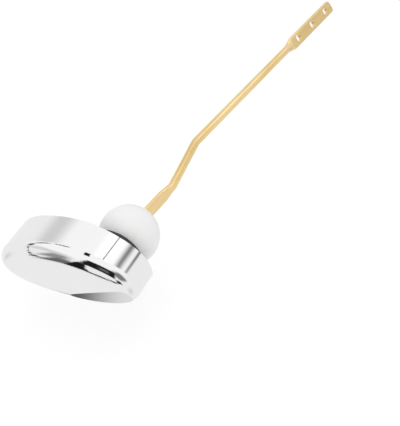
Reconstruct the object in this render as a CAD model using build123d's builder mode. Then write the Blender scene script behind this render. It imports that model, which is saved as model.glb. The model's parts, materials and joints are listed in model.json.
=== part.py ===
from build123d import *
import os
from math import asin, copysign, cos, degrees, radians, sin, sqrt, tan

# Cistern lever. Millimetres, Z up. The spindle turns about Y, which runs into the tank.
# The tank's outer face is Y = 0 and the lever points to -X.

# Handle casting
lever_reach = 51.6
hub_reach = 22.0
crown_height = 20.0
sole_depth = 15.4
end_bluntness = 0.95
tip_droop = 2.2
rim_gap = 1.0
tip_standoff = 5.0
hub_depth = 20.0
tip_depth = 28.5
front_crown = 0.8
round_share = 1.0
handle_wall = 2.0
rib_thickness = 1.8
rib_seat = 9.0

# Diagonal crease across the hub's front and the facet below it
crease_start = (-6.0, -6.4)
crease_end = (13.5, 2.8)
facet_slope = 17.0

# Spindle and bushing
spindle_radius = 4.5
running_clearance = 0.05
boss_radius = 7.5
flange_radius = 11.2
flange_thickness = 4.0
thrust_gap = 0.2
shank_radius = 8.0
shank_length = 18.0
square_side = 14.0
square_corner = 1.5
square_length = 2.6

# Stops of the turning range
turn_range = 40.0
lug_reach = 14.0
lug_width = 5.0
lug_gap = 1.2
stop_width = 4.0
stop_clearance = 0.2

# Washers, clip and nut
gasket_radius = 15.2
gasket_bore = 10.3
gasket_thickness = 2.2
gasket_gap = 0.6
nut_radius = 15.8
nut_height = 26.5
nut_hole = 6.0
thread_clearance = 0.25
nut_edge = 1.0
thrust_radius = 7.4
thrust_thickness = 0.9
clip_radius = 7.2
clip_thickness = 0.9
clip_band = 1.7
clip_mouth = 7.6
groove_depth = 0.5
axial_play = 0.05
spindle_tail = 1.1

# Lift arm, bent from one rod in a plane that is rolled about the spindle
rod_diameter = 4.75
tang_width = 6.4
tang_thickness = 2.8
tang_depth = 24.0
tang_bend_gap = 1.5
arm_roll = 47.0
root_angle = 6.5
first_run = 35.0
offset_angle = -6.6
offset_run = 34.0
reach_angle = 7.1
reach_run = 115.0
bend_radius = 14.0
neck_length = 7.0
flare_length = 9.0
paddle_length = 67.0
paddle_width = 8.5
paddle_thickness = 2.1
tip_corner = 2.5
hole_radius = 2.6
first_hole = 16.3
hole_pitch = 20.7
hole_count = 3

os.makedirs("parts", exist_ok=True)

# Sizes that follow from the ones above
half_length = (hub_reach + lever_reach) / 2
edge_round = round_share * sole_depth**2 / half_length
boss_end = flange_thickness + thrust_gap
gasket_face = gasket_gap + gasket_thickness
groove_start = shank_length + thrust_thickness + 2 * axial_play
groove_width = clip_thickness + 2 * axial_play
spindle_end = groove_start + groove_width + spindle_tail
root_bend = spindle_end + tang_bend_gap


def outline_points(inset):
    # A little blunter than an ellipse, and drooping towards the tip
    middle = (hub_reach - lever_reach) / 2
    half = half_length - inset
    points = []
    for step in range(12):
        across = cos(radians(30 * step))
        upward = sin(radians(30 * step))
        height = (crown_height if upward > 0 else sole_depth) - inset
        x = middle + half * copysign(abs(across) ** end_bluntness, across)
        z = height * copysign(abs(upward) ** end_bluntness, upward)
        points.append((x, z + tip_droop * min(across, 0)))
    return points


def front_y(x):
    # Where the slanted, slightly bulging front lies at x
    along_front = (hub_reach - x) / (hub_reach + lever_reach)
    bulge = front_crown * (1 - (2 * along_front - 1) ** 2)
    return -(hub_depth + along_front * (tip_depth - hub_depth) + bulge)


def facet_plane(inset):
    start = Vector(crease_start[0], front_y(crease_start[0]), crease_start[1])
    end = Vector(crease_end[0], front_y(crease_end[0]), crease_end[1])
    run = (end - start).normalized()
    fall = run.cross(Vector(0, -1, 0)).normalized()
    normal = fall.cross(run) * cos(radians(facet_slope)) + fall * sin(radians(facet_slope))
    return Plane(origin=start - normal * inset, x_dir=run, z_dir=normal)


def handle_form(inset, back):
    # The front view's outline, crossed with the top view's profile and rounded in front
    beyond = 5.0
    left = -lever_reach - beyond
    right = hub_reach + beyond
    slope = (tip_depth - hub_depth) / (lever_reach + hub_reach)
    front_left = -(tip_depth + beyond * slope) + inset
    front_right = -(hub_depth - beyond * slope) + inset
    front_middle = (front_left + front_right) / 2 - front_crown
    with BuildPart() as form:
        with BuildSketch(Plane.XZ.offset(-beyond)):
            with BuildLine():
                Spline(*outline_points(inset), periodic=True)
            make_face()
        extrude(amount=tip_depth + 3 * beyond)
        with BuildSketch(Plane.XY):
            with BuildLine():
                ThreePointArc((left, front_left), ((left + right) / 2, front_middle), (right, front_right))
                Line((right, front_right), (right, back))
                Line((right, back), (-hub_reach / 2, back))
                Line((-hub_reach / 2, back), (left, back - (tip_standoff - rim_gap)))
                Line((left, back - (tip_standoff - rim_gap)), (left, front_left))
            make_face()
        extrude(amount=2 * crown_height, both=True, mode=Mode.INTERSECT)
        fillet(form.faces().sort_by(Axis.Y)[0].edges(), edge_round - inset)
        split(bisect_by=facet_plane(inset), keep=Keep.BOTTOM)
    return form.part


# Hollow of the casting: what is left between the hub, its ribs and the turning stops
handle_body = handle_form(0, -rim_gap)
contact_radius = flange_radius + 2 * stop_clearance
contact_angle = degrees(asin(lug_width / 2 / contact_radius) + asin((stop_width / 2 + stop_clearance) / contact_radius))
lug_angle = 90.0
stop_angles = [lug_angle + contact_angle, lug_angle - turn_range - contact_angle]
rib_angles = [180.0, 150.0, 210.0, 300.0, 0.0]

with BuildPart() as hollow:
    add(handle_form(handle_wall, tip_standoff))
    with BuildSketch(Plane.XZ.offset(boss_end)):
        Circle(boss_radius)
    extrude(amount=tip_depth, mode=Mode.SUBTRACT)
    with BuildSketch(Plane.XZ.offset(rib_seat)):
        for angle in rib_angles:
            with Locations(Rotation(0, 0, angle)):
                Rectangle(lever_reach, rib_thickness, align=(Align.MIN, Align.CENTER))
    extrude(amount=tip_depth, mode=Mode.SUBTRACT)
    with BuildSketch(Plane.XZ.offset(lug_gap)):
        for angle in stop_angles:
            with Locations(Rotation(0, 0, angle) * Pos(contact_radius, 0)):
                Rectangle(hub_reach, stop_width, align=(Align.MIN, Align.CENTER))
    extrude(amount=tip_depth, mode=Mode.SUBTRACT)


def along(angle):
    return Vector(sin(radians(angle)), cos(radians(angle)))


def section_plane(point, angle):
    # Square to the flat arm, with its X in the plane of the bends
    return Plane(origin=point, x_dir=along(angle + 90), z_dir=along(angle))


# Lever handle
socket_across = (cos(radians(arm_roll)), 0, -sin(radians(arm_roll)))
socket_plane = Plane(origin=(0, spindle_end, 0), x_dir=socket_across, z_dir=(0, -1, 0))

with BuildPart() as lever_handle:
    add(handle_body)
    add(hollow.part, mode=Mode.SUBTRACT)
    with BuildSketch(Plane.XZ.offset(-spindle_end)):
        Circle(spindle_radius)
    extrude(amount=spindle_end + boss_end + 1.0)
    with BuildSketch(Plane.XZ.offset(-groove_start - groove_width)):
        Circle(spindle_radius + 1.0)
        Circle(spindle_radius - groove_depth, mode=Mode.SUBTRACT)
    extrude(amount=groove_width, mode=Mode.SUBTRACT)
    with BuildSketch(socket_plane):
        SlotOverall(tang_width, tang_thickness)
    extrude(amount=tang_depth, mode=Mode.SUBTRACT)
lever_handle.part.label = "lever_handle"
export_step(lever_handle.part, "parts/lever_handle.step")

# Mounting bushing
with BuildPart() as mounting_bushing:
    with BuildSketch(Plane.XZ):
        Circle(flange_radius)
    extrude(amount=flange_thickness)
    with BuildSketch(Plane.XZ.offset(lug_gap + stop_clearance)):
        with Locations(Rotation(0, 0, lug_angle)):
            Rectangle(lug_reach, lug_width, align=(Align.MIN, Align.CENTER))
    extrude(amount=flange_thickness - lug_gap - stop_clearance)
    with BuildSketch(Plane.XZ):
        RectangleRounded(square_side, square_side, square_corner)
    extrude(amount=-square_length)
    with BuildSketch(Plane.XZ):
        Circle(shank_radius)
    extrude(amount=-shank_length)
    with BuildSketch(Plane.XZ.offset(flange_thickness)):
        Circle(spindle_radius + running_clearance)
    extrude(amount=-shank_length - flange_thickness, mode=Mode.SUBTRACT)
mounting_bushing.part.label = "mounting_bushing"
export_step(mounting_bushing.part, "parts/mounting_bushing.step")

# Gasket washer
with BuildPart() as gasket_washer:
    with BuildSketch(Plane.XZ.offset(-gasket_gap)):
        Circle(gasket_radius)
        Circle(gasket_bore, mode=Mode.SUBTRACT)
    extrude(amount=-gasket_thickness)
    fillet(gasket_washer.edges().filter_by(GeomType.CIRCLE).group_by(SortBy.RADIUS)[-1], gasket_thickness / 4)
gasket_washer.part.label = "gasket_washer"
export_step(gasket_washer.part, "parts/gasket_washer.step")

# Mounting nut: a ball cut flat at its base and open at its far end for the arm
nut_bore = shank_radius + thread_clearance
nut_end = gasket_face + nut_height
nut_middle = nut_end - sqrt(nut_radius**2 - nut_hole**2)
nut_base = sqrt(nut_radius**2 - (nut_middle - gasket_face) ** 2)
bore_end = spindle_end + 0.5
with BuildPart() as mounting_nut:
    with BuildSketch(Plane.XY):
        with BuildLine():
            ThreePointArc((nut_base, gasket_face), (nut_radius, nut_middle), (nut_hole, nut_end))
            Line((nut_hole, nut_end), (nut_hole, nut_end - 2.5))
            Line((nut_hole, nut_end - 2.5), (nut_bore, bore_end))
            Line((nut_bore, bore_end), (nut_bore, gasket_face))
            Line((nut_bore, gasket_face), (nut_base, gasket_face))
        make_face()
    revolve(axis=Axis.Y)
    rims = mounting_nut.edges().filter_by(GeomType.CIRCLE)
    fillet(rims.group_by(Axis.Y)[0].sort_by(SortBy.RADIUS)[-1], nut_edge)
    fillet(rims.group_by(Axis.Y)[-1], nut_edge / 2)
mounting_nut.part.label = "mounting_nut"
export_step(mounting_nut.part, "parts/mounting_nut.step")

# Thrust washer
with BuildPart() as thrust_washer:
    with BuildSketch(Plane.XZ.offset(-shank_length - axial_play)):
        Circle(thrust_radius)
        Circle(spindle_radius + running_clearance, mode=Mode.SUBTRACT)
    extrude(amount=-thrust_thickness)
thrust_washer.part.label = "thrust_washer"
export_step(thrust_washer.part, "parts/thrust_washer.step")

# Retaining clip: a band with an open mouth and three prongs that sit in the spindle's groove
with BuildPart() as retaining_clip:
    with BuildSketch(Plane.XZ.offset(-groove_start - axial_play)):
        Circle(clip_radius)
        Circle(clip_radius - clip_band, mode=Mode.SUBTRACT)
        for angle in (90, 200, 340):
            with Locations(Rotation(0, 0, angle)):
                Rectangle(clip_radius - clip_band / 2, clip_band, align=(Align.MIN, Align.CENTER))
        with Locations((0, -clip_radius)):
            Rectangle(clip_mouth, 2 * clip_radius, mode=Mode.SUBTRACT)
        Circle(spindle_radius - groove_depth + running_clearance, mode=Mode.SUBTRACT)
    extrude(amount=-clip_thickness)
retaining_clip.part.label = "retaining_clip"
export_step(retaining_clip.part, "parts/retaining_clip.step")

# Lift arm, shaped flat in XY and then rolled about the spindle
tang_start = Vector(0, spindle_end - tang_depth)
root_point = Vector(0, root_bend)
first_point = root_point + along(root_angle) * first_run
second_point = first_point + along(offset_angle) * offset_run
paddle_point = second_point + along(reach_angle) * reach_run
bend_start = bend_radius * tan(radians((root_angle - offset_angle) / 2)) + 1.0
neck_end = first_point - along(root_angle) * bend_start
neck_start = neck_end - along(root_angle) * neck_length
flare_end = paddle_point + along(reach_angle) * flare_length
tip_point = paddle_point + along(reach_angle) * paddle_length
paddle_plane = Plane(origin=tip_point, x_dir=along(reach_angle), z_dir=(0, 0, 1))

with BuildPart() as flat_arm:
    with BuildLine():
        FilletPolyline(tang_start, root_point, neck_start, radius=bend_radius)
    with BuildSketch(section_plane(tang_start, 0)):
        SlotOverall(tang_width, tang_thickness)
    sweep()
    with BuildSketch(section_plane(neck_start, root_angle)):
        SlotOverall(tang_width, tang_thickness)
    with BuildSketch(section_plane(neck_end, root_angle)):
        Circle(rod_diameter / 2)
    loft()
    with BuildLine():
        FilletPolyline(neck_end, first_point, second_point, paddle_point, radius=bend_radius)
    with BuildSketch(section_plane(neck_end, root_angle)):
        Circle(rod_diameter / 2)
    sweep()
    with BuildSketch(section_plane(paddle_point, reach_angle)):
        Circle(rod_diameter / 2)
    with BuildSketch(section_plane(flare_end, reach_angle)):
        SlotOverall(paddle_width, paddle_thickness)
    loft()
    with BuildSketch(section_plane(flare_end, reach_angle)):
        SlotOverall(paddle_width, paddle_thickness)
    extrude(amount=paddle_length - flare_length)
    with BuildSketch(paddle_plane):
        Rectangle(tip_corner, 2 * paddle_width, align=(Align.MAX, Align.CENTER))
        RectangleRounded(paddle_length, paddle_width, tip_corner, align=(Align.MAX, Align.CENTER), mode=Mode.SUBTRACT)
    extrude(amount=paddle_thickness, both=True, mode=Mode.SUBTRACT)
    with BuildSketch(paddle_plane):
        with Locations((first_hole - paddle_length + hole_pitch * (hole_count - 1) / 2, 0)):
            with GridLocations(hole_pitch, 0, hole_count, 1):
                Circle(hole_radius)
    extrude(amount=paddle_thickness, both=True, mode=Mode.SUBTRACT)

with BuildPart() as lift_arm:
    add(flat_arm.part, rotation=(0, arm_roll, 0))
lift_arm.part.label = "lift_arm"
export_step(lift_arm.part, "parts/lift_arm.step")
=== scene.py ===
import json
from math import cos, degrees, radians, sin, sqrt, tan

import bpy
from mathutils import Matrix, Vector


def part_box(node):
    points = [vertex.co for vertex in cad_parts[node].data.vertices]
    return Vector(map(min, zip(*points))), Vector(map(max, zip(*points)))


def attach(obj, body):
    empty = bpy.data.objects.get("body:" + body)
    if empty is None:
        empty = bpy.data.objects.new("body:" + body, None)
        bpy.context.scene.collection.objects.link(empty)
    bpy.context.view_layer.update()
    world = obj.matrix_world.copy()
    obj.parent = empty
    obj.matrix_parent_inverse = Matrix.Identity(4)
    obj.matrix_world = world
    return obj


# Cistern lever: a chrome handle, a white ball nut and a bent brass arm on a white table

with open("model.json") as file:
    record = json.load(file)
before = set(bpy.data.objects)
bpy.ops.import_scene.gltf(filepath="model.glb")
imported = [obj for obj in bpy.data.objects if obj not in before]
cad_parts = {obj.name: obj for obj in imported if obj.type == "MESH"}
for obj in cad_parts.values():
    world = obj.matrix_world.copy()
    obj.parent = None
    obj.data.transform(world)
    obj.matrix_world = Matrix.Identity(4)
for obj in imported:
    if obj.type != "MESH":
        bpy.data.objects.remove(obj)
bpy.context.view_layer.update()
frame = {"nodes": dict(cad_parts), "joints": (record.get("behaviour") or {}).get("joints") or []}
nodes = frame["nodes"]
bpy.ops.object.select_all(action="DESELECT")
print("loaded the frame:", sorted(nodes))

mm = 0.001


# Unit vectors by degrees: azimuth from -Y towards +X, and height above the horizon
def direction(turn, rise):
    turn, rise = radians(turn), radians(rise)
    return Vector((sin(turn) * cos(rise), -cos(turn) * cos(rise), sin(rise)))


def rightward(turn):
    return Vector((cos(radians(turn)), sin(radians(turn)), 0))


# Node helpers
def newMaterial(name):
    mat = bpy.data.materials.new(name)
    mat.use_nodes = True
    tree = mat.node_tree
    return mat, tree, tree.nodes["Principled BSDF"]


def addNode(tree, kind, **sockets):
    node = tree.nodes.new(kind)
    for key, value in sockets.items():
        node.inputs[key.replace("_", " ")].default_value = value
    return node


def mixColour(tree, first, second, factor):
    mix = tree.nodes.new("ShaderNodeMix")
    mix.data_type = "RGBA"
    for name, colour in (("A", first), ("B", second)):
        if isinstance(colour, tuple):
            mix.inputs[name].default_value = (*colour, 1)
        else:
            tree.links.new(colour, mix.inputs[name])
    tree.links.new(factor, mix.inputs["Factor"])
    return mix.outputs["Result"]


def ranged(tree, value, fromRange, toRange):
    node = addNode(tree, "ShaderNodeMapRange", From_Min=fromRange[0], From_Max=fromRange[1],
                   To_Min=toRange[0], To_Max=toRange[1])
    tree.links.new(value, node.inputs["Value"])
    return node.outputs["Result"]


def bumpFrom(tree, shader, height, strength, distance):
    bump = addNode(tree, "ShaderNodeBump", Strength=strength, Distance=distance)
    tree.links.new(height, bump.inputs["Height"])
    tree.links.new(bump.outputs["Normal"], shader.inputs["Normal"])


# The small unevenness every surface has: a broad mottle and a fine grain, which can be stretched along Y
surfaceNoise = {
    "Mottle": {"Detail": 3.0, "Roughness": 0.55},
    "Grain": {"Detail": 4.0, "Roughness": 0.65},
}
noiseRange = (0.3, 0.7)  # where most of the noise lies


def buildSurfaceGroup():
    group = bpy.data.node_groups.new("surfaceVariation", "ShaderNodeTree")
    for name in ("Mottle Scale", "Grain Scale", "Stretch"):
        group.interface.new_socket(name=name, in_out="INPUT", socket_type="NodeSocketFloat")
    for name in surfaceNoise:
        group.interface.new_socket(name=name, in_out="OUTPUT", socket_type="NodeSocketFloat")
    inn = group.nodes.new("NodeGroupInput")
    out = group.nodes.new("NodeGroupOutput")
    coord = group.nodes.new("ShaderNodeTexCoord")
    squeeze = addNode(group, "ShaderNodeCombineXYZ", X=1.0, Z=1.0)
    scaled = group.nodes.new("ShaderNodeVectorMath")
    scaled.operation = "MULTIPLY"
    link = group.links.new
    link(inn.outputs["Stretch"], squeeze.inputs["Y"])
    link(coord.outputs["Object"], scaled.inputs[0])
    link(squeeze.outputs["Vector"], scaled.inputs[1])
    for name, settings in surfaceNoise.items():
        noise = addNode(group, "ShaderNodeTexNoise", **settings)
        link(scaled.outputs["Vector"], noise.inputs["Vector"])
        link(inn.outputs[name + " Scale"], noise.inputs["Scale"])
        link(noise.outputs["Fac"], out.inputs[name])
    return group


surfaceGroup = buildSurfaceGroup()


def placeSurface(tree, mottleScale, grainScale, stretch=1.0):
    node = tree.nodes.new("ShaderNodeGroup")
    node.node_tree = surfaceGroup
    node.inputs["Mottle Scale"].default_value = mottleScale
    node.inputs["Grain Scale"].default_value = grainScale
    node.inputs["Stretch"].default_value = stretch
    return node


# Two shades by the mottle, and a roughness by the mottle or the grain
def layFinish(tree, shader, look, roughBy="Grain"):
    surface = placeSurface(tree, *look["scales"])
    colour = mixColour(tree, look["pale"], look["shade"], surface.outputs["Mottle"])
    roughness = ranged(tree, surface.outputs[roughBy], noiseRange, look["roughness"])
    tree.links.new(colour, shader.inputs["Base Color"])
    tree.links.new(roughness, shader.inputs["Roughness"])
    return surface


# Chrome plating: almost a mirror, with a faint uneven haze
chromeLook = {"pale": (0.91, 0.91, 0.911), "shade": (0.87, 0.87, 0.872), "roughness": (0.015, 0.06),
              "scales": (45.0, 1500.0)}


def chromePlating():
    mat, tree, shader = newMaterial("chromePlating")
    layFinish(tree, shader, chromeLook, roughBy="Mottle")
    shader.inputs["Metallic"].default_value = 1.0
    return mat


# Drawn brass: streaks along the rod, and tan stains
brassLook = {
    "bright": (0.95, 0.74, 0.38), "streak": (0.78, 0.56, 0.22), "stain": (0.86, 0.61, 0.38),
    "roughness": (0.15, 0.26),
    "streakScales": (260.0, 2400.0, 0.04), "streakShare": (0.0, 0.9),
    "stainScales": (55.0, 700.0, 0.6), "stainFrom": (0.45, 0.7), "stainShare": (0.0, 0.6),
    "bump": 0.05, "bumpDepth": 0.1 * mm,
}


def drawnBrass():
    mat, tree, shader = newMaterial("drawnBrass")
    streaks = placeSurface(tree, *brassLook["streakScales"])
    stains = placeSurface(tree, *brassLook["stainScales"])
    streaked = ranged(tree, streaks.outputs["Mottle"], noiseRange, brassLook["streakShare"])
    stained = ranged(tree, stains.outputs["Mottle"], brassLook["stainFrom"], brassLook["stainShare"])
    drawn = mixColour(tree, brassLook["bright"], brassLook["streak"], streaked)
    colour = mixColour(tree, drawn, brassLook["stain"], stained)
    roughness = ranged(tree, streaks.outputs["Grain"], noiseRange, brassLook["roughness"])
    tree.links.new(colour, shader.inputs["Base Color"])
    tree.links.new(roughness, shader.inputs["Roughness"])
    bumpFrom(tree, shader, streaks.outputs["Grain"], brassLook["bump"], brassLook["bumpDepth"])
    shader.inputs["Metallic"].default_value = 1.0
    return mat


# Moulded pieces: the nut's and the bushing's white plastic, the nylon washer and the rubber gasket
mould = {"scales": (70.0, 1400.0), "bump": 0.06, "bumpDepth": 0.2 * mm}
nutLook = {"pale": (0.88, 0.88, 0.878), "shade": (0.83, 0.83, 0.825), "roughness": (0.34, 0.5)}
bushingLook = {"pale": (0.86, 0.86, 0.84), "shade": (0.79, 0.79, 0.77), "roughness": (0.45, 0.6)}
nylonLook = {"pale": (0.84, 0.82, 0.74), "shade": (0.76, 0.74, 0.66), "roughness": (0.4, 0.55)}
rubberLook = {"pale": (0.045, 0.045, 0.045), "shade": (0.015, 0.015, 0.016), "roughness": (0.55, 0.8)}


def moulded(name, look):
    mat, tree, shader = newMaterial(name)
    surface = layFinish(tree, shader, {**mould, **look})
    bumpFrom(tree, shader, surface.outputs["Grain"], mould["bump"], mould["bumpDepth"])
    return mat


# Spring steel for the clip
steelLook = {"pale": (0.42, 0.42, 0.43), "shade": (0.30, 0.30, 0.31), "roughness": (0.25, 0.45),
             "scales": (200.0, 2500.0)}


def springSteel():
    mat, tree, shader = newMaterial("springSteel")
    layFinish(tree, shader, steelLook)
    shader.inputs["Metallic"].default_value = 1.0
    return mat


finishes = {
    "lever_handle": chromePlating(),
    "lift_arm": drawnBrass(),
    "mounting_nut": moulded("nutPlastic", nutLook),
    "gasket_washer": moulded("blackRubber", rubberLook),
    "mounting_bushing": moulded("bushingPlastic", bushingLook),
    "thrust_washer": moulded("naturalNylon", nylonLook),
    "retaining_clip": springSteel(),
}
for nodeName, finish in finishes.items():
    node = nodes[nodeName]
    node.data.materials.clear()
    node.data.materials.append(finish)
print("finishes given to", len(finishes), "nodes")

# Thread on the bushing's shank, left-handed, seen when the nut is taken off: millimetres and degrees
thread = {"pitch": 2.0, "start": 3.4, "turns": 6.5, "root": 7.9, "crest": 8.2, "width": 1.3, "steps": 48,
          "sharp": 30}


def makeThread():
    bpy.ops.object.select_all(action="DESELECT")
    bpy.ops.mesh.primitive_circle_add(vertices=3, radius=mm, fill_type="NOTHING")
    ridge = bpy.context.object
    ridge.name = "shankThread"
    height = thread["crest"] - thread["root"]
    middle = thread["root"] + height / 3
    triangleHeight, triangleWidth = 1.5, sqrt(3)  # of three points on a circle of radius 1
    bpy.ops.object.mode_set(mode="EDIT")
    bpy.ops.mesh.select_all(action="SELECT")
    bpy.ops.transform.rotate(value=radians(90), orient_axis="Z", center_override=(0, 0, 0))
    bpy.ops.transform.resize(value=(height / triangleHeight, thread["width"] / triangleWidth, 1),
                             center_override=(0, 0, 0))
    bpy.ops.transform.translate(value=(middle * mm, thread["start"] * mm, 0))
    bpy.ops.object.mode_set(mode="OBJECT")
    coil = ridge.modifiers.new("coil", "SCREW")
    coil.axis = "Y"
    coil.angle = -radians(360 * thread["turns"])
    coil.screw_offset = thread["pitch"] * thread["turns"] * mm
    coil.steps = coil.render_steps = round(thread["steps"] * thread["turns"])
    bpy.ops.object.modifier_apply(modifier=coil.name)
    bpy.ops.object.mode_set(mode="EDIT")
    bpy.ops.mesh.select_all(action="SELECT")
    bpy.ops.mesh.fill_holes(sides=3)  # the two ends
    bpy.ops.mesh.normals_make_consistent(inside=False)
    bpy.ops.object.mode_set(mode="OBJECT")
    bpy.ops.object.shade_smooth_by_angle(angle=radians(thread["sharp"]))
    ridge.data.materials.append(finishes["mounting_bushing"])
    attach(ridge, "mount")
    print("thread made:", len(ridge.data.polygons), "faces", [round(v / mm, 2) for v in ridge.dimensions])


makeThread()

# Camera at the photograph's viewing angle: degrees, metres, and pixels of the photograph for the focal
# length and for where the frame's origin is seen. The sensor is in millimetres.
view = {"turn": 26.0, "rise": 48.0, "away": 0.430, "focal": 862.0, "centre": (114.7, 255.3),
        "image": (400, 426), "sensor": 36.0, "near": 0.01}


def placeCamera():
    right = rightward(view["turn"])
    back = direction(view["turn"], view["rise"])
    up = back.cross(right)
    perPixel = view["away"] / view["focal"]
    across = (view["centre"][0] - view["image"][0] / 2) * perPixel
    above = (view["image"][1] / 2 - view["centre"][1]) * perPixel
    bpy.ops.object.camera_add()
    cam = bpy.context.object
    cam.name = "camera"
    cam.data.sensor_width = view["sensor"]
    cam.data.lens = view["focal"] * view["sensor"] / max(view["image"])
    cam.data.clip_start = view["near"]
    turned = Matrix((right, up, back)).transposed().to_4x4()
    cam.matrix_world = Matrix.Translation(back * view["away"] - right * across - up * above) @ turned
    bpy.context.scene.camera = cam


placeCamera()
print("camera placed")

# Floor: white to the camera, with a faint shadow, and left out of the chrome's reflections
floorLook = {"size": 6.0, "colour": (0.90, 0.90, 0.90), "glow": 0.70, "shadowShare": 0.36, "gap": mm}


def makeFloor(height):
    bpy.ops.object.select_all(action="DESELECT")
    bpy.ops.mesh.primitive_plane_add(size=floorLook["size"], location=(0, 0, height))
    floor = bpy.context.object
    floor.name = "floor"
    mat, tree, shader = newMaterial("floorWhite")
    tree.nodes.remove(shader)
    dimColour = [part * floorLook["shadowShare"] for part in floorLook["colour"]]
    matt = addNode(tree, "ShaderNodeBsdfDiffuse", Color=(*floorLook["colour"], 1))
    dimmed = addNode(tree, "ShaderNodeBsdfDiffuse", Color=(*dimColour, 1))
    glow = addNode(tree, "ShaderNodeEmission", Strength=floorLook["glow"])
    seen = tree.nodes.new("ShaderNodeAddShader")
    path = tree.nodes.new("ShaderNodeLightPath")
    choose = tree.nodes.new("ShaderNodeMixShader")
    link = tree.links.new
    link(dimmed.outputs["BSDF"], seen.inputs[0])
    link(glow.outputs["Emission"], seen.inputs[1])
    link(path.outputs["Is Camera Ray"], choose.inputs["Fac"])
    link(matt.outputs["BSDF"], choose.inputs[1])
    link(seen.outputs["Shader"], choose.inputs[2])
    link(choose.outputs["Shader"], tree.nodes["Material Output"].inputs["Surface"])
    floor.data.materials.append(mat)
    floor.visible_glossy = False


# Lowest height of the lever at rest and pressed down to its limit
def lowestPoint():
    turn = next(joint for joint in frame["joints"] if joint["name"] == "lever_turn")
    swing = Matrix.Rotation(radians(turn["range_deg"][1]), 3, Vector(turn["axis"]))
    pressed = min((swing @ v.co).z for v in nodes["lever_handle"].data.vertices)
    return min(pressed, *(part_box(name)[0].z for name in nodes))


makeFloor(lowestPoint() - floorLook["gap"])
print("floor laid under the pressed lever")

# The room that the chrome mirrors, as soft rectangles and thin lines in the sky and below the horizon
room = {
    # brightness low and high up, the heights between which it changes, and what diffuse and camera rays see
    "plain": {"levels": (0.92, 1.02), "heights": (22.0, 48.0), "unmirrored": (0.95, 1.0)},
    "warp": {"scale": 5.0, "detail": 2.0, "reach": 0.045},
    # azimuth, height, half width, half height and lean in degrees; soft share of the edge; brightness
    "patches": {
        "backLamp": (163, 57, 13, 9, 0, 0.7, 1.20),
        "backGlow": (165, 40, 15, 8, 0, 0.9, 1.7),
        "tableFar": (180, -22, 40, 19, 0, 0.5, 0.50),
        "sideBack": (143, 7, 11, 14, 0, 0.7, 0.74),
        "sideTableRight": (66, -23, 22, 20, 0, 1.0, 0.72),
        "sideTableLeft": (-58, -24, 16, 20, 0, 1.0, 0.74),
        "backLeftWall": (-128, 33, 14, 15, 0, 0.9, 0.68),
        "backLine": (164, 57, 0.7, 12, 0, 0.5, 0.25),
        "rightScreen": (140, 45, 8, 8, 0, 1.0, 0.22),
        "rightRail": (128, 30, 5, 6, 0, 1.0, 0.18),
        "paleWall": (-42, 39, 30, 12, 0, 0.6, 0.72),
        "greyWall": (-20, 14, 13, 26, 0, 0.7, 0.30),
        "greyCorner": (62, 34, 24, 24, 0, 0.6, 0.22),
        "lowStreak": (-16, -18, 8, 31, -8, 0.7, 0.15),
        "darkCorner": (22, 37, 19, 25, -25, 0.25, 0.012),
        "cornerPanel": (24, 36, 8, 14, -25, 0.8, 0.13),
        "cornerFoot": (34, 3, 8, 10, 0, 0.5, 0.02),
        "tripod": (-7, -9, 4.4, 36, -11, 0.3, 0.012),
        "hook": (-172, 75, 3.4, 14, 0, 0.4, 0.01),
        "shadedTable": (-40, -80, 18, 18, 0, 0.7, 0.78),
    },
    # corners: azimuth, height and the half width of the stretch that starts there
    "lines": {
        "backdropEdge": {"corners": [(-140, 60, 4), (-120, 48, 4), (-97, 38, 4), (-72, 33.5, 1.2),
                                     (-49, 21.5, 1), (-37, 7, 1.6), (-29, -9, 3), (-24, -25, 4),
                                     (-17, -33, 3)],
                         "soft": 0.6, "bright": 0.10},
        "tableEdge": {"corners": [(-14, -38, 3), (-9, -34, 3.5), (3, -21, 4), (20, -9, 5), (34, 4, 5)],
                      "soft": 0.6, "bright": 0.05},
        "tableShade": {"corners": [(-41, -68, 5.6), (-67, -75, 5.6)], "soft": 0.6, "bright": 0.12},
    },
    "overlap": 1.0,  # degrees that each stretch of a line runs past its corners
}


def buildPatchGroup():
    group = bpy.data.node_groups.new("skyPatch", "ShaderNodeTree")
    face = group.interface
    for name in ("Direction", "Aim", "Across", "Above"):
        face.new_socket(name=name, in_out="INPUT", socket_type="NodeSocketVector")
    for name in ("Half Width", "Half Height", "Softness"):
        face.new_socket(name=name, in_out="INPUT", socket_type="NodeSocketFloat")
    face.new_socket(name="Mask", in_out="OUTPUT", socket_type="NodeSocketFloat")
    inn = group.nodes.new("NodeGroupInput")
    out = group.nodes.new("NodeGroupOutput")
    link = group.links.new

    def dotWith(name):
        node = group.nodes.new("ShaderNodeVectorMath")
        node.operation = "DOT_PRODUCT"
        link(inn.outputs["Direction"], node.inputs[0])
        link(inn.outputs[name], node.inputs[1])
        return node.outputs["Value"]

    def maths(operation, first, second=None):
        node = group.nodes.new("ShaderNodeMath")
        node.operation = operation
        for index, value in enumerate((first, second)):
            if isinstance(value, (int, float)):
                node.inputs[index].default_value = value
            elif value is not None:
                link(value, node.inputs[index])
        return node.outputs["Value"]

    ahead = dotWith("Aim")
    masks = []
    for side, half in (("Across", "Half Width"), ("Above", "Half Height")):
        offset = maths("DIVIDE", maths("ABSOLUTE", dotWith(side)), ahead)
        edge = addNode(group, "ShaderNodeMapRange", From_Max=1.0, To_Min=1.0, To_Max=0.0)
        edge.interpolation_type = "SMOOTHSTEP"
        link(maths("DIVIDE", offset, inn.outputs[half]), edge.inputs["Value"])
        link(maths("SUBTRACT", 1.0, inn.outputs["Softness"]), edge.inputs["From Min"])
        masks.append(edge.outputs["Result"])
    both = maths("MULTIPLY", *masks)
    link(maths("MULTIPLY", both, maths("GREATER_THAN", ahead, 0.0)), out.inputs["Mask"])
    return group


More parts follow.
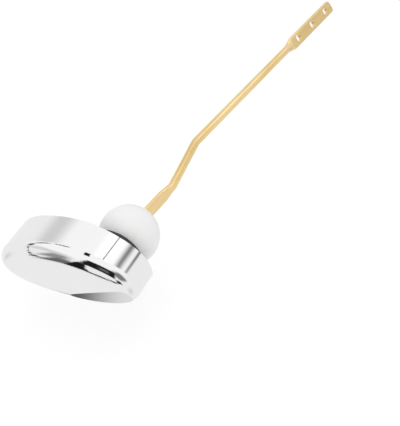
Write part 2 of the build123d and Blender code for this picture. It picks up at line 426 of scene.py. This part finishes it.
def makeWorld():
    world = bpy.data.worlds.new("paleRoom")
    bpy.context.scene.world = world
    world.use_nodes = True
    tree = world.node_tree
    link = tree.links.new
    back = tree.nodes["Background"]
    back.inputs["Color"].default_value = (1, 1, 1, 1)
    plain, warp = room["plain"], room["warp"]
    coord = tree.nodes.new("ShaderNodeTexCoord")
    wave = addNode(tree, "ShaderNodeTexNoise", Scale=warp["scale"], Detail=warp["detail"])
    shift = tree.nodes.new("ShaderNodeVectorMath")  # uneven plating bends what it mirrors
    shift.operation = "MULTIPLY_ADD"
    shift.inputs[1].default_value = [warp["reach"]] * 3
    split = tree.nodes.new("ShaderNodeSeparateXYZ")
    link(coord.outputs["Generated"], wave.inputs["Vector"])
    link(wave.outputs["Color"], shift.inputs[0])
    link(coord.outputs["Generated"], shift.inputs[2])
    link(coord.outputs["Generated"], split.inputs["Vector"])
    heights = [sin(radians(height)) for height in plain["heights"]]
    level = ranged(tree, split.outputs["Z"], heights, plain["levels"])
    group = buildPatchGroup()

    def layPatch(name, aim, across, above, halfWide, halfHigh, soft, bright):
        nonlocal level
        patch = tree.nodes.new("ShaderNodeGroup")
        patch.node_tree = group
        patch.name = name
        patch.inputs["Aim"].default_value = aim
        patch.inputs["Across"].default_value = across
        patch.inputs["Above"].default_value = above
        patch.inputs["Half Width"].default_value = tan(radians(halfWide))
        patch.inputs["Half Height"].default_value = tan(radians(halfHigh))
        patch.inputs["Softness"].default_value = soft
        link(shift.outputs["Vector"], patch.inputs["Direction"])
        mix = addNode(tree, "ShaderNodeMix", B=bright)
        link(patch.outputs["Mask"], mix.inputs["Factor"])
        link(level, mix.inputs["A"])
        level = mix.outputs["Result"]

    for name, (turn, rise, halfWide, halfHigh, lean, soft, bright) in room["patches"].items():
        aim, across = direction(turn, rise), rightward(turn)
        leaned = Matrix.Rotation(radians(lean), 3, aim)
        layPatch(name, aim, leaned @ across, leaned @ aim.cross(across), halfWide, halfHigh, soft, bright)
    for name, line in room["lines"].items():
        for (*start, halfWide), (*end, _) in zip(line["corners"], line["corners"][1:]):
            start, end = direction(*start), direction(*end)
            aim = (start + end).normalized()
            along = (end - start).normalized()
            halfLong = degrees(start.angle(end)) / 2 + room["overlap"]
            layPatch(name, aim, along.cross(aim), along, halfWide, halfLong, line["soft"], line["bright"])
    path = tree.nodes.new("ShaderNodeLightPath")
    unmirrored = ranged(tree, path.outputs["Is Camera Ray"], (0.0, 1.0), plain["unmirrored"])
    choose = tree.nodes.new("ShaderNodeMix")
    link(path.outputs["Is Glossy Ray"], choose.inputs["Factor"])
    link(unmirrored, choose.inputs["A"])
    link(level, choose.inputs["B"])
    link(choose.outputs["Result"], back.inputs["Strength"])


makeWorld()
print("room laid out:", len(room["patches"]), "patches and", len(room["lines"]), "lines")

# Lamp, unseen in the chrome
lamp = {"at": (-0.15, 0.10, 0.75), "aim": (0, 0.05, 0), "size": 0.7, "power": 0.7}


def addLamp():
    bpy.ops.object.light_add(type="AREA", location=lamp["at"])
    obj = bpy.context.object
    obj.name = "lamp"
    obj.data.size = lamp["size"]
    obj.data.energy = lamp["power"]
    obj.visible_glossy = False
    aim = Vector(lamp["aim"]) - Vector(lamp["at"])
    obj.rotation_euler = aim.to_track_quat("-Z", "Y").to_euler()


addLamp()
print("lamp placed")

bpy.context.scene.view_settings.view_transform = "Standard"
